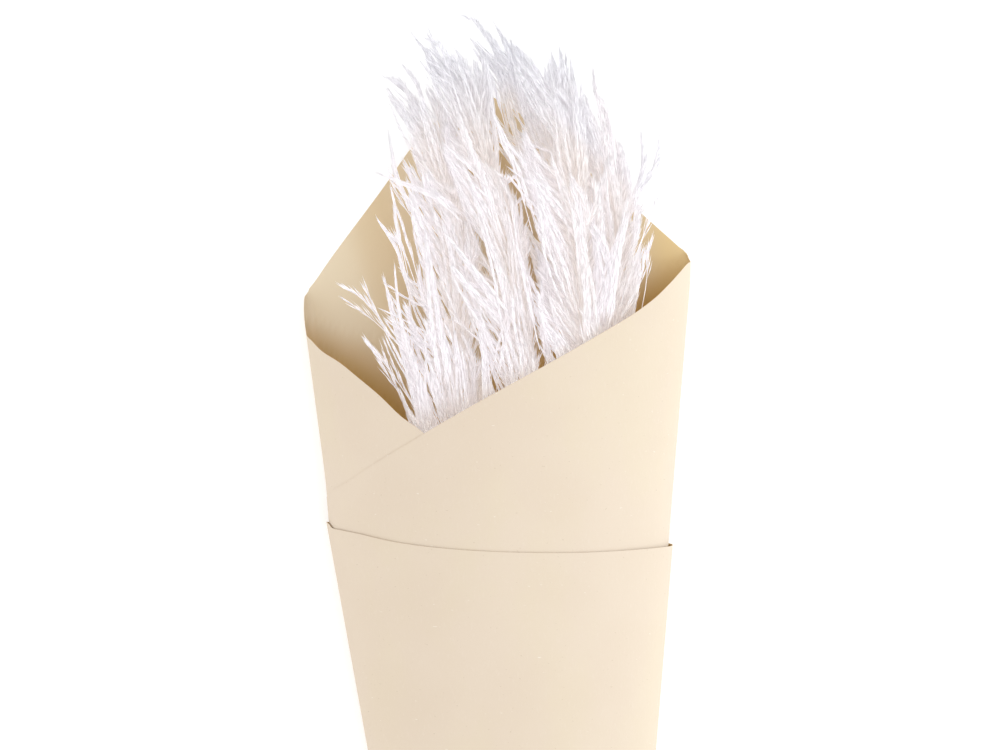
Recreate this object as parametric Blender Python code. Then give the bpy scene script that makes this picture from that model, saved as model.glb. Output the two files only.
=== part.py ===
"""Bundle of dried white pampas grass in a cone of pale kraft paper, lying on its back.

Metres, +Z up. +Y runs towards the plume tips and +X to the right of someone who looks down
on the paper's front. The origin lies on the flat back of the lower paper.
"""

import bisect
import math
import random

import bmesh
import bpy
from mathutils import Vector

# Paper
PAPER = 0.0006
LAYER_STEP = 0.0016
COLUMNS_PER_TURN = 48
SIDE_SHARE = 0.22
SIDE_ROUND = 0.014
CORNER_TURN = 4 / 48
FRONT_HEIGHT = 0.0626
FRONT_GROWTH = 0.081

# Lower paper, a sleeve glued at the back
SLEEVE_LOW = -0.28
SLEEVE_LEFT = [(-0.28, -0.0444), (0.05, -0.1043)]
SLEEVE_RIGHT = [(-0.28, 0.0803), (0.05, 0.1072)]
SLEEVE_LAP_STEP = 0.0010
SLEEVE_FIRST_TURN = 34 / 48
SLEEVE_LAST_TURN = 87 / 48
SLEEVE_LAP_END = 39 / 48
SLEEVE_LAP_RAMP = 2 / 48
SLEEVE_EDGE = [
    (0.66, 0.0310),
    (1.00, 0.0206),
    (1.12, 0.0190),
    (1.22, 0.0178),
    (1.32, 0.0205),
    (1.38, 0.0245),
    (1.44, 0.0304),
    (1.50, 0.0356),
    (1.82, 0.0262),
]

# Upper paper, a square sheet wrapped corner up, its right flap over its left one
WRAP_LOW = -0.255
WRAP_IN_SLEEVE = 0.036
WRAP_CLEAR_OF_SLEEVE = 0.062
WRAP_LIFT = 0.0020
ROW_MARGIN = 0.004
SLEEVE_STAND_OFF = 0.0016
WRAP_FIRST_TURN = 8 / 48
WRAP_LAST_TURN = 74 / 48
WRAP_LEFT = [(-0.28, -0.0428), (0.036, -0.0998), (0.062, -0.1032), (0.31, -0.1393)]
WRAP_RIGHT = [(-0.28, 0.0787), (0.0208, 0.1032), (0.31, 0.1253)]
LEFT_FLAP_EDGE = [
    (0.160, -0.0300),
    (0.250, 0.0350),
    (0.319, 0.0894),
    (0.367, 0.1144),
    (0.423, 0.1342),
    (0.465, 0.1425),
    (0.500, 0.1580),
]
BACK_LEFT_EDGE = [(0.500, 0.1580), (0.583, 0.1815), (0.629, 0.2175), (0.687, 0.2608), (0.750, 0.3040)]
BACK_RIGHT_EDGE = [(0.750, 0.3040), (0.882, 0.2242), (0.917, 0.2076), (0.969, 0.1968), (1.000, 0.1915)]
RIGHT_FLAP_EDGE = [
    (1.000, 0.1915),
    (1.052, 0.1822),
    (1.119, 0.1618),
    (1.171, 0.1414),
    (1.243, 0.1162),
    (1.320, 0.0894),
    (1.363, 0.0766),
    (1.410, 0.0646),
    (1.457, 0.0586),
    (1.500, 0.0544),
    (1.560, 0.0440),
]

# Stems and their tie
STEM_RADIUS = 0.0027
STEM_SIDES = 10
STEM_NODES = 3
STEM_TAPER = 0.2
NODE_SWELL = 0.0004
NODE_LENGTH = 0.003
TIE_Y = -0.215
TIE_X = 0.013
STEM_END = -0.34
CUT_STAGGER = 0.006
STEM_SPLAY = 0.004
CLEARANCE = 0.0003
TWINE_RADIUS = 0.0011
TWINE_TURNS = 2.25
TWINE_POINTS_PER_TURN = 16

# Plumes: the line of each one's stalk, its widest half-width and its number of side sprays.
# "stem" is its place in the tied bundle, in stem widths across and rows up. A stray is a spray
# that stands out from the rest: where it leaves the stalk, its length and how far it reaches out.
PLUMES = [
    {
        "stalk": [(0.002, -0.040, 0.031), (-0.001, 0.08, 0.043), (-0.0165, 0.20, 0.049), (-0.030, 0.286, 0.052)],
        "reach": 0.031,
        "sprays": 90,
        "stem": (-0.5, 1),
        "strays": [],
    },
    {
        "stalk": [(-0.017, -0.048, 0.021), (-0.028, 0.08, 0.025), (-0.040, 0.20, 0.026), (-0.048, 0.264, 0.030)],
        "reach": 0.028,
        "sprays": 80,
        "stem": (-1, 0),
        "strays": [(0.070, 0.112, -0.060), (0.196, 0.066, -0.029), (0.205, 0.064, -0.018)],
    },
    {
        "stalk": [(0.012, -0.030, 0.016), (0.022, 0.08, 0.019), (0.022, 0.21, 0.021), (-0.001, 0.302, 0.026)],
        "reach": 0.026,
        "sprays": 72,
        "stem": (0, 0),
        "strays": [],
    },
    {
        "stalk": [(0.024, -0.044, 0.033), (0.036, 0.08, 0.044), (0.040, 0.20, 0.049), (0.0385, 0.281, 0.050)],
        "reach": 0.028,
        "sprays": 84,
        "stem": (0.5, 1),
        "strays": [],
    },
    {
        "stalk": [(0.040, -0.050, 0.021), (0.058, 0.08, 0.025), (0.067, 0.18, 0.027), (0.0615, 0.266, 0.031)],
        "reach": 0.028,
        "sprays": 80,
        "stem": (1, 0),
        "strays": [(0.150, 0.080, 0.026), (0.192, 0.076, 0.020), (0.196, 0.070, 0.031)],
    },
]
FREE_OF_PAPER = 0.215
SIDE_MARGIN = 0.004
GOLDEN_ANGLE = math.pi * (3 - math.sqrt(5))
CORE_RADIUS = 0.0115
CORE_GROOVE = 0.78
CORE_SIDES = 12
CORE_RINGS = 8
SPRAY_STATIONS = [(0.0, 0.6), (0.42, 1.0), (0.76, 0.72), (1.0, 0.0)]
SPRAY_HALF_WIDTH = 0.0021
SPRAY_LENGTH_LOW = 0.085
SPRAY_LENGTH_TIP = 0.042
SPRAY_CROWDING = 0.8
SEED = 7


def between(points, place):
    """Straight interpolation through (place, value) points."""
    places = [point[0] for point in points]
    index = min(max(bisect.bisect_right(places, place), 1), len(points) - 1)
    start, end = points[index - 1], points[index]
    share = (place - start[0]) / (end[0] - start[0])
    return start[1] + (end[1] - start[1]) * share


def curved(points, place):
    """Smooth interpolation through (place, value) points, straight past its ends."""
    places = [point[0] for point in points]
    index = min(max(bisect.bisect_right(places, place), 1), len(points) - 1)
    start, end = points[index - 1], points[index]
    before = points[max(index - 2, 0)]
    after = points[min(index + 1, len(points) - 1)]
    span = end[0] - start[0]
    share = min(max((place - start[0]) / span, 0.0), 1.0)
    slope_start = (end[1] - before[1]) / (end[0] - before[0]) * span
    slope_end = (after[1] - start[1]) / (after[0] - start[0]) * span
    square, cube = share**2, share**3
    return (
        (2 * cube - 3 * square + 1) * start[1]
        + (cube - 2 * square + share) * slope_start
        + (3 * square - 2 * cube) * end[1]
        + (cube - square) * slope_end
    )


def section_point(turn, y, left, right, low, high, inset=0.0):
    """A point of the paper's cross-section: an arched front, round sides and a flat back.

    turn counts revolutions: 0 is the right side, 0.25 the crown of the front, 0.5 the left
    side and 0.75 the middle of the back.
    """
    centre = (left + right) / 2
    half = (right - left) / 2 - inset
    side = low + SIDE_SHARE * (high - low)
    part = turn % 1.0
    if part <= 0.5:
        angle = part * 2 * math.pi
        across = half * math.cos(angle)
        return Vector((centre + across, y, side + (high - inset - side) * math.sin(angle)))
    flat = half - SIDE_ROUND
    from_middle = part - 0.75
    past_flat = abs(from_middle) - (0.25 - CORNER_TURN)
    if past_flat <= 0:
        return Vector((centre + flat * from_middle / (0.25 - CORNER_TURN), y, low))
    angle = past_flat / CORNER_TURN * math.pi / 2
    across = math.copysign(flat + SIDE_ROUND * math.sin(angle), from_middle)
    return Vector((centre + across, y, side - (side - low) * math.cos(angle)))


def wrap_floor(y):
    """Height of the upper paper's back: on the sleeve inside it, and on the ground beyond it."""
    bend = min(max(y, WRAP_IN_SLEEVE), WRAP_CLEAR_OF_SLEEVE)
    return between([(WRAP_IN_SLEEVE, WRAP_LIFT), (WRAP_CLEAR_OF_SLEEVE, 0.0)], bend)


def wrap_crown(y):
    """Height of the upper paper's arched front."""
    return FRONT_HEIGHT + FRONT_GROWTH * y - SLEEVE_STAND_OFF


def wrap_point(turn, y):
    """A point of the upper paper, which winds a little further out as it goes round."""
    inset = LAYER_STEP * (WRAP_LAST_TURN - turn)
    left, right = between(WRAP_LEFT, y), between(WRAP_RIGHT, y)
    return section_point(turn, y, left, right, wrap_floor(y), wrap_crown(y), inset)


def wrap_top(turn):
    """Height of the upper paper's edge: two flaps in front and one corner at the back."""
    for edge in (LEFT_FLAP_EDGE, BACK_LEFT_EDGE, BACK_RIGHT_EDGE):
        if turn <= edge[-1][0]:
            return curved(edge, turn)
    return curved(RIGHT_FLAP_EDGE, turn)


def sleeve_point(turn, y):
    """A point of the lower paper, whose inner end is lapped under its outer end at the back."""
    inner_lap = min(max(1 - (turn - SLEEVE_LAP_END) / SLEEVE_LAP_RAMP, 0.0), 1.0)
    left, right = between(SLEEVE_LEFT, y), between(SLEEVE_RIGHT, y)
    crown = FRONT_HEIGHT + FRONT_GROWTH * y
    return section_point(turn, y, left, right, SLEEVE_LAP_STEP * inner_lap, crown)


def make_material(name, colour, roughness):
    material = bpy.data.materials.new(name)
    material.use_nodes = True
    shader = material.node_tree.nodes["Principled BSDF"]
    shader.inputs["Base Color"].default_value = (*colour, 1.0)
    shader.inputs["Roughness"].default_value = roughness
    shader.inputs["Metallic"].default_value = 0.0
    return material


def add_object(name, mesh, material):
    obj = bpy.data.objects.new(name, mesh)
    bpy.context.scene.collection.objects.link(obj)
    mesh.materials.append(material)
    return obj


def paper_sheet(name, material, first_turn, last_turn, levels_at, point_at):
    """A sheet of paper: a grid of columns round the section and rows along it, then its thickness."""
    columns = round((last_turn - first_turn) * COLUMNS_PER_TURN)
    shape = bmesh.new()
    grid = []
    for column in range(columns + 1):
        turn = first_turn + column / COLUMNS_PER_TURN
        grid.append([shape.verts.new(point_at(turn, y)) for y in levels_at(turn)])
    for here, there in zip(grid, grid[1:]):
        for row in range(len(here) - 1):
            shape.faces.new((here[row], here[row + 1], there[row + 1], there[row]))
    bmesh.ops.triangulate(shape, faces=shape.faces[:], quad_method="FIXED")
    mesh = bpy.data.meshes.new(name)
    shape.to_mesh(mesh)
    shape.free()
    obj = add_object(name, mesh, material)
    solidify = obj.modifiers.new("Paper thickness", "SOLIDIFY")
    solidify.thickness = PAPER
    solidify.offset = -1.0
    solidify.use_even_offset = True
    return obj


def wrap_levels(turn):
    """Rows of the upper paper: breaks where it leaves the sleeve, never above its own edge."""
    top = wrap_top(turn)
    lower = min(WRAP_IN_SLEEVE, top - 2 * ROW_MARGIN)
    upper = min(WRAP_CLEAR_OF_SLEEVE, top - ROW_MARGIN)
    return [WRAP_LOW, lower, upper, top]


def sleeve_levels(turn):
    return [SLEEVE_LOW, curved(SLEEVE_EDGE, turn)]


def stalk_point(stalk, y):
    """Point of a plume's stalk at a height, on a smooth curve through its named points."""
    across = curved([(point[1], point[0]) for point in stalk], y)
    up = curved([(point[1], point[2]) for point in stalk], y)
    return Vector((across, y, up))


def stalk_direction(stalk, y):
    step = 0.004
    low, high = stalk[0][1] + step, stalk[-1][1] - step
    y = min(max(y, low), high)
    return (stalk_point(stalk, y + step) - stalk_point(stalk, y - step)).normalized()


def beyond_stalk(stalk, y):
    """Stalk point that carries on in a straight line past the two ends."""
    nearest = min(max(y, stalk[0][1]), stalk[-1][1])
    direction = stalk_direction(stalk, nearest)
    return stalk_point(stalk, nearest) + direction * ((y - nearest) / direction.y)


def kept_clear(point, own, margin):
    """The point moved, if need be, to its own plume's side of the others and inside the paper."""
    for _ in range(4):
        centre = beyond_stalk(own, point.y)
        for plume in PLUMES:
            if plume["stalk"] is own:
                continue
            toward = beyond_stalk(plume["stalk"], point.y) - centre
            distance = toward.length
            past = (point - centre).dot(toward / distance) - (distance / 2 - margin)
            if past > 0:
                point = point - toward / distance * past
        point = inside_paper(point, margin)
    return point


def inside_paper(point, margin):
    """The point moved inside the upper paper's front arch, its sides and its back."""
    room = margin + LAYER_STEP * 2 + PAPER
    left, right = between(WRAP_LEFT, point.y) + room, between(WRAP_RIGHT, point.y) - room
    low = wrap_floor(point.y) + room
    x = min(max(point.x, left + SIDE_MARGIN), right - SIDE_MARGIN)
    if point.y > FREE_OF_PAPER:
        return Vector((x, point.y, max(point.z, low)))
    high = wrap_crown(point.y) - room
    side = low + SIDE_SHARE * (high - low)
    share = (x - (left + right) / 2) / ((right - left) / 2)
    ceiling = side + (high - side) * math.sqrt(1 - share**2)
    return Vector((x, point.y, min(max(point.z, low), ceiling)))


def plume_profile(share):
    """Half-width of a plume along its stalk, from its foot to its tip, as a share of the widest."""
    rise = min(share / 0.35, 1.0)
    fall = min((1 - share) / 0.45, 1.0)
    return (0.42 + 0.58 * math.sin(rise * math.pi / 2)) * (0.34 + 0.66 * math.sin(fall * math.pi / 2))


def ringed_prism(sides, rings):
    """A closed prism of radius 1 from z = 0 to 1, with rings of corners evenly up its height."""
    shape = bmesh.new()
    bmesh.ops.create_cone(shape, cap_ends=True, segments=sides, radius1=1.0, radius2=1.0, depth=1.0)
    upright = [edge for edge in shape.edges if abs(edge.verts[0].co.z - edge.verts[1].co.z) > 0.5]
    bmesh.ops.subdivide_edges(shape, edges=upright, cuts=rings - 2, use_grid_fill=True)
    bmesh.ops.translate(shape, verts=shape.verts[:], vec=(0, 0, 0.5))
    return shape


def lay_rings(shape, ring_frames):
    """Moves each ring of a prism to its own centre, directions and radius."""
    last = len(ring_frames) - 1
    for vertex in shape.verts:
        centre, across, upward, radius = ring_frames[round(vertex.co.z * last)]
        vertex.co = centre + (across * vertex.co.x + upward * vertex.co.y) * radius


def directions_across(along):
    """Two directions square to a line that runs mainly along +Y: one level, one mainly upward."""
    across = along.cross(Vector((0, 0, 1))).normalized()
    return across, across.cross(along)


def bent_spray(name, path, twist):
    """One pointed three-sided spray laid along a path: a function from 0 to 1 that gives points."""
    shape = ringed_prism(3, len(SPRAY_STATIONS))
    frames = []
    for place, width in SPRAY_STATIONS:
        along = (path(min(place + 0.08, 1.0)) - path(max(place - 0.08, 0.0))).normalized()
        across, upward = directions_across(along)
        turned = across * math.cos(twist) + upward * math.sin(twist)
        frames.append((path(place), turned, turned.cross(along), width * SPRAY_HALF_WIDTH))
    lay_rings(shape, frames)
    bmesh.ops.remove_doubles(shape, verts=shape.verts[:], dist=1e-5)
    bmesh.ops.recalc_face_normals(shape, faces=shape.faces[:])
    mesh = bpy.data.meshes.new(name)
    shape.to_mesh(mesh)
    shape.free()
    return bpy.data.objects.new(name, mesh)


def spray_path(stalk, y, angle, length, reach, droop):
    """Path of one side spray: out of the stalk, swinging up along it, its tip drooping a little."""
    along = stalk_direction(stalk, y)
    root = beyond_stalk(stalk, y)
    across, upward = directions_across(along)
    outward = across * math.cos(angle) + upward * math.sin(angle)

    def path(place):
        spread = math.sin(place * math.pi / 2) ** 1.15
        point = root + along * (length * place) + outward * (reach * spread)
        point = point + Vector((0, 0, -droop * place**2))
        return kept_clear(point, stalk, SPRAY_HALF_WIDTH + CLEARANCE) if place > 0.15 else point

    return path


def core_mesh(name, stalk):
    """The stalk with its crowded side branches: a slim tapered body, grooved along its length."""
    low, high = stalk[0][1], stalk[-1][1]
    frames = []
    for index in range(CORE_RINGS):
        share = index / (CORE_RINGS - 1)
        y = low + (high - low) * share
        across, upward = directions_across(stalk_direction(stalk, y))
        radius = CORE_RADIUS * min(0.25 + share * 2.4, 1.0) * min(0.12 + (1 - share) * 1.8, 1.0)
        frames.append((stalk_point(stalk, y), across, upward, radius))
    shape = ringed_prism(CORE_SIDES, CORE_RINGS)
    for vertex in shape.verts:
        groove = round(math.atan2(vertex.co.y, vertex.co.x) / (2 * math.pi) * CORE_SIDES) % 2
        if groove:
            vertex.co.x *= CORE_GROOVE
            vertex.co.y *= CORE_GROOVE
    lay_rings(shape, frames)
    bmesh.ops.recalc_face_normals(shape, faces=shape.faces[:])
    mesh = bpy.data.meshes.new(name)
    shape.to_mesh(mesh)
    shape.free()
    return mesh


def spray_paths(number, plume):
    """Paths of a plume's sprays, turned by the golden angle one after the next up its stalk."""
    stalk = plume["stalk"]
    draw = random.Random(SEED + number)
    low, high = stalk[0][1], stalk[-1][1]
    paths = []
    for index in range(plume["sprays"]):
        share = 0.03 + 0.96 * (index / (plume["sprays"] - 1)) ** SPRAY_CROWDING
        y = low + (high - low) * share
        angle = index * GOLDEN_ANGLE + draw.uniform(-0.25, 0.25)
        length = SPRAY_LENGTH_LOW + (SPRAY_LENGTH_TIP - SPRAY_LENGTH_LOW) * share
        reach = plume["reach"] * plume_profile(share) * draw.uniform(0.8, 1.05)
        droop = draw.uniform(0.0, 0.004)
        paths.append(spray_path(stalk, y, angle, length * draw.uniform(0.85, 1.1), reach, droop))
    for y, length, reach in plume["strays"]:
        angle = 0.0 if reach > 0 else math.pi
        paths.append(spray_path(stalk, y, angle, length, abs(reach), 0.0))
    return paths


def make_plume(number, plume, material):
    """One plume: its core and its sprays, joined into one body."""
    name = f"plume_{number}"
    draw = random.Random(SEED * number)
    obj = add_object(name, core_mesh(name, plume["stalk"]), material)
    sprays = bpy.data.collections.new(f"{name}_sprays")
    for index, path in enumerate(spray_paths(number, plume)):
        sprays.objects.link(bent_spray(f"{name}_spray_{index}", path, draw.uniform(0, 2)))
    union = obj.modifiers.new("Join sprays", "BOOLEAN")
    union.operation = "UNION"
    union.operand_type = "COLLECTION"
    union.collection = sprays
    union.solver = "EXACT"
    joined = bpy.data.meshes.new_from_object(obj.evaluated_get(bpy.context.evaluated_depsgraph_get()))
    obj.modifiers.clear()
    obj.data = joined
    for spray in list(sprays.objects):
        bpy.data.objects.remove(spray)
    bpy.data.collections.remove(sprays)
    return obj


def stem_line(plume):
    """Points of a stem from its cut end, through the tie, to just below its plume."""
    across, row = plume["stem"]
    spacing = 2 * STEM_RADIUS + 2 * NODE_SWELL + CLEARANCE
    tie_floor = WRAP_LIFT + PAPER + CLEARANCE + 2 * TWINE_RADIUS + CLEARANCE
    height = tie_floor + STEM_RADIUS + NODE_SWELL + row * spacing * math.sin(math.pi / 3)
    tie = Vector((TIE_X + across * spacing, TIE_Y, height))
    foot = Vector(plume["stalk"][0])
    top = foot - stalk_direction(plume["stalk"], foot.y) * CLEARANCE
    cut = tie + Vector((across * STEM_SPLAY, STEM_END - TIE_Y, 0))
    return [cut, tie, top]


def make_stem(number, plume, material):
    """A straw: a slim tapered tube of faces with a swollen ring at each of its nodes."""
    cut, tie, top = stem_line(plume)
    stagger = number % 3
    cut = cut + Vector((0, CUT_STAGGER * (stagger - 1), 0))
    level, upright = Vector((1, 0, 0)), Vector((0, 0, 1))
    frames = [(cut, level, upright, STEM_RADIUS), (tie, level, upright, STEM_RADIUS)]
    for index in range(STEM_NODES):
        share = (index + 0.6 + 0.08 * stagger) / STEM_NODES
        for step, swell in ((-NODE_LENGTH, 0.0), (0.0, NODE_SWELL), (NODE_LENGTH, 0.0)):
            place = tie.lerp(top, share) + (top - tie).normalized() * step
            frames.append((place, level, upright, STEM_RADIUS * (1 - STEM_TAPER * share) + swell))
    across, upward = directions_across(stalk_direction(plume["stalk"], top.y))
    frames.append((top, across, upward, STEM_RADIUS * (1 - STEM_TAPER)))
    shape = ringed_prism(STEM_SIDES, len(frames))
    lay_rings(shape, frames)
    bmesh.ops.recalc_face_normals(shape, faces=shape.faces[:])
    mesh = bpy.data.meshes.new(f"stem_{number}")
    shape.to_mesh(mesh)
    shape.free()
    return add_object(f"stem_{number}", mesh, material)


def make_tie(material):
    """Twine wound round the stems, following the outline of the bundle."""
    ties = [stem_line(plume)[1] for plume in PLUMES]
    offset = STEM_RADIUS + NODE_SWELL + CLEARANCE + TWINE_RADIUS
    curve = bpy.data.curves.new("stem_tie", "CURVE")
    curve.dimensions = "3D"
    curve.bevel_depth = TWINE_RADIUS
    curve.bevel_resolution = 1
    curve.use_fill_caps = True
    spline = curve.splines.new("POLY")
    count = round(TWINE_TURNS * TWINE_POINTS_PER_TURN)
    spline.points.add(count)
    pitch = 2 * TWINE_RADIUS + CLEARANCE
    for index in range(count + 1):
        turns = index / TWINE_POINTS_PER_TURN
        angle = 2 * math.pi * turns
        outward = Vector((math.cos(angle), 0, math.sin(angle)))
        stem = max(ties, key=outward.dot)
        point = stem + outward * offset + Vector((0, pitch * (turns - TWINE_TURNS / 2), 0))
        spline.points[index].co = (*point, 1.0)
    obj = bpy.data.objects.new("stem_tie", curve)
    bpy.context.scene.collection.objects.link(obj)
    curve.materials.append(material)
    return obj


def clear_scene():
    for obj in list(bpy.data.objects):
        bpy.data.objects.remove(obj)


def main():
    clear_scene()
    kraft = make_material("kraft_paper", (0.84, 0.71, 0.57), 0.85)
    plume = make_material("plume", (0.88, 0.84, 0.82), 0.7)
    straw = make_material("stem", (0.62, 0.50, 0.30), 0.6)
    twine = make_material("twine", (0.45, 0.33, 0.20), 0.9)
    paper_sheet("lower_wrap", kraft, SLEEVE_FIRST_TURN, SLEEVE_LAST_TURN, sleeve_levels, sleeve_point)
    paper_sheet("upper_wrap", kraft, WRAP_FIRST_TURN, WRAP_LAST_TURN, wrap_levels, wrap_point)
    for number, spec in enumerate(PLUMES, start=1):
        make_plume(number, spec, plume)
        make_stem(number, spec, straw)
    make_tie(twine)


main()
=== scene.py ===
import math

import bmesh
import bpy
import numpy as np
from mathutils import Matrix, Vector


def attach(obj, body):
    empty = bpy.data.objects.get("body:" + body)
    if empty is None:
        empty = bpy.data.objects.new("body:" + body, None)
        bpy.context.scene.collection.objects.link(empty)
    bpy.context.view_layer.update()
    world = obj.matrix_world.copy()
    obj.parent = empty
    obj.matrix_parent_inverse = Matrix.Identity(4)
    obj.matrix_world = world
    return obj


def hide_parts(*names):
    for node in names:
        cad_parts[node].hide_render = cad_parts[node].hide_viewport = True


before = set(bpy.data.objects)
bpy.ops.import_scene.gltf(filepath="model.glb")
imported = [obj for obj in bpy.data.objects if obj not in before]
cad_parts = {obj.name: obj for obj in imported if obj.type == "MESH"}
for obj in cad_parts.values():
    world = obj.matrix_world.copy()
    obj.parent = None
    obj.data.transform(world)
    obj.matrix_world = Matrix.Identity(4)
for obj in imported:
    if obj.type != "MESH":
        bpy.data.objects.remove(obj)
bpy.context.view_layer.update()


# The studio: the bunch lies on a plain white table, under an even white sky with one broad
# soft lamp over its right side. The camera looks straight down on the paper's front.
METRES_PER_PIXEL = 0.000594
PHOTO_WIDTH = 1000
PHOTO_CENTRE = Vector((0.0018, 0.1246, 0.0))
CAMERA_HEIGHT = 3.0
FOCUS_HEIGHT = 0.03
SENSOR_MM = 36.0
TABLE_SIDE = 6.0
TABLE_DROP = 0.0002
TABLE_GREY = (0.93, 0.93, 0.93, 1.0)
TABLE_WHITE = (0.96, 0.96, 0.96, 1.0)
TABLE_GLOW = 0.12
SKY_STRENGTH = 1.18
WHITE = (1.0, 1.0, 1.0, 1.0)
LAMP_POWER = 15.0
LAMP_SIDE = 0.8
LAMP_PLACE = Vector((2.1, 0.35, 0.6))
LAMP_COLOUR = (0.88, 0.99, 1.08)

scene = bpy.context.scene


class Socket:
    """An output of a material's node: arithmetic on a number adds Math nodes."""

    def __init__(self, shader, socket):
        self.shader = shader
        self.socket = socket

    def math(self, operation, first, second):
        return self.shader.node("ShaderNodeMath", {"operation": operation}, {0: first, 1: second})

    def __add__(self, other):
        return self.math("ADD", self, other)

    def __radd__(self, other):
        return self.math("ADD", other, self)

    def __mul__(self, other):
        return self.math("MULTIPLY", self, other)

    def __rmul__(self, other):
        return self.math("MULTIPLY", other, self)


class Shader:
    """A material's node tree, with one method that adds any node."""

    def __init__(self, name):
        self.material = bpy.data.materials.new(name)
        self.material.use_nodes = True
        self.tree = self.material.node_tree
        self.tree.nodes.clear()

    def node(self, kind, settings, inputs, output=0):
        made = self.tree.nodes.new(kind)
        for name, value in settings.items():
            setattr(made, name, value)
        for key, value in inputs.items():
            if isinstance(value, Socket):
                self.tree.links.new(value.socket, made.inputs[key])
            else:
                made.inputs[key].default_value = value
        return Socket(self, made.outputs[output])

    def place(self):
        """Object coordinates, in metres."""
        return self.node("ShaderNodeTexCoord", {}, {}, "Object")

    def painted(self, name):
        """A value that the mesh carries on its own corners or faces."""
        return self.node("ShaderNodeAttribute", {"attribute_name": name}, {}, "Fac")

    def noise(self, vector, scale, detail=2.0, roughness=0.5):
        inputs = {"Vector": vector, "Scale": scale, "Detail": detail, "Roughness": roughness}
        return self.node("ShaderNodeTexNoise", {}, inputs, "Fac")

    def grain(self, scale, turn=(0.0, 0.0, 0.0), detail=2.0, roughness=0.5):
        """Noise with a scale of its own along each axis, and turned."""
        inputs = {"Vector": self.place(), "Scale": scale, "Rotation": turn}
        return self.noise(self.node("ShaderNodeMapping", {}, inputs), 1.0, detail, roughness)

    def between(self, value, low, high):
        """0 below low, 1 above high and a smooth rise between."""
        settings = {"interpolation_type": "SMOOTHSTEP"}
        return self.node("ShaderNodeMapRange", settings, {"Value": value, "From Min": low, "From Max": high})

    def mix(self, share, first, second):
        """A colour between two colours."""
        return self.node("ShaderNodeMix", {"data_type": "RGBA"}, {0: share, 6: first, 7: second}, 2)

    def stained(self, tone, stain, pattern, low, high, share):
        """A tone with a share of a stain on it where a pattern rises from low to high."""
        return self.mix(self.between(pattern, low, high) * share, tone, stain)

    def bumps(self, height, strength, distance):
        return self.node("ShaderNodeBump", {}, {"Height": height, "Strength": strength, "Distance": distance})

    def skin(self, tone, roughness, shine, others):
        """A Principled surface: its colour, roughness and shine, and its other inputs."""
        inputs = {"Base Color": tone, "Roughness": roughness, "Specular IOR Level": shine, **others}
        return self.node("ShaderNodeBsdfPrincipled", {}, inputs)

    def finish(self, surface):
        """The material, which shows this surface."""
        end = self.tree.nodes.new("ShaderNodeOutputMaterial")
        self.tree.links.new(surface.socket, end.inputs["Surface"])
        return self.material


def table_finish():
    shader = Shader("white_table")
    grain = shader.noise(shader.place(), scale=18, detail=4)
    glow = {"Emission Color": WHITE, "Emission Strength": TABLE_GLOW}
    return shader.finish(shader.skin(shader.mix(grain, TABLE_GREY, TABLE_WHITE), 0.9, 0.1, glow))


def shown(name, mesh, material):
    """A mesh as a smooth object in the scene."""
    mesh.polygons.foreach_set("use_smooth", [True] * len(mesh.polygons))
    mesh.materials.append(material)
    obj = bpy.data.objects.new(name, mesh)
    scene.collection.objects.link(obj)
    return obj


def finished(name, shape, material):
    """The object of a bmesh, which is used up."""
    mesh = bpy.data.meshes.new(name)
    shape.to_mesh(mesh)
    shape.free()
    return shown(name, mesh, material)


table_shape = bmesh.new()
bmesh.ops.create_grid(table_shape, x_segments=1, y_segments=1, size=TABLE_SIDE / 2)
bmesh.ops.translate(table_shape, verts=table_shape.verts[:], vec=(0.0, 0.0, -TABLE_DROP))
finished("table", table_shape, table_finish())

world = bpy.data.worlds.new("white_sky")
world.use_nodes = True
world.node_tree.nodes["Background"].inputs["Color"].default_value = WHITE
world.node_tree.nodes["Background"].inputs["Strength"].default_value = SKY_STRENGTH
scene.world = world
scene.view_settings.view_transform = "Standard"

lamp = bpy.data.lights.new("soft_lamp", "AREA")
lamp.energy = LAMP_POWER
lamp.size = LAMP_SIDE
lamp.color = LAMP_COLOUR
lamp_object = bpy.data.objects.new("soft_lamp", lamp)
lamp_object.location = LAMP_PLACE
lamp_object.rotation_euler = (PHOTO_CENTRE - LAMP_PLACE).to_track_quat("-Z", "Y").to_euler()
scene.collection.objects.link(lamp_object)

camera = bpy.data.cameras.new("camera")
camera.sensor_width = SENSOR_MM
camera.lens = SENSOR_MM * (CAMERA_HEIGHT - FOCUS_HEIGHT) / (METRES_PER_PIXEL * PHOTO_WIDTH)
camera_object = bpy.data.objects.new("camera", camera)
camera_object.location = PHOTO_CENTRE + Vector((0.0, 0.0, CAMERA_HEIGHT))
scene.collection.objects.link(camera_object)
scene.camera = camera_object


# The upper wrap: one square sheet of pale kraft paper laid corner up behind the plumes. Its
# left flap is folded in over their feet and its right flap is drawn over that one and round
# to the left side. Nothing fastens it but the sleeve round its foot.
PAPER = 0.00015
LAYER_STEP = 0.00027
SIDE_SHARE = 0.22
SIDE_ROUND = 0.005
CAD_COLUMNS = 48
CORNER_TURN = 2 / CAD_COLUMNS
FRONT_HEIGHT = 0.0626
FRONT_GROWTH = 0.081
WRAP_LOW = -0.255
WRAP_IN_SLEEVE = 0.036
WRAP_ON_TABLE = 0.062
WRAP_LIFT = 0.002
SLEEVE_STAND_OFF = 0.0004
LEFT_STAND_OFF = 0.0006
LEFT_RAMP_TURN = 0.15
WRAP_TURNS = (8 / CAD_COLUMNS, 74 / CAD_COLUMNS)
WRAP_LEFT = [(-0.28, -0.0428), (0.036, -0.1003), (0.062, -0.1026), (0.1574, -0.1153), (0.31, -0.135)]
WRAP_RIGHT = [(-0.28, 0.0787), (0.0208, 0.1022), (0.31, 0.1262)]
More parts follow.
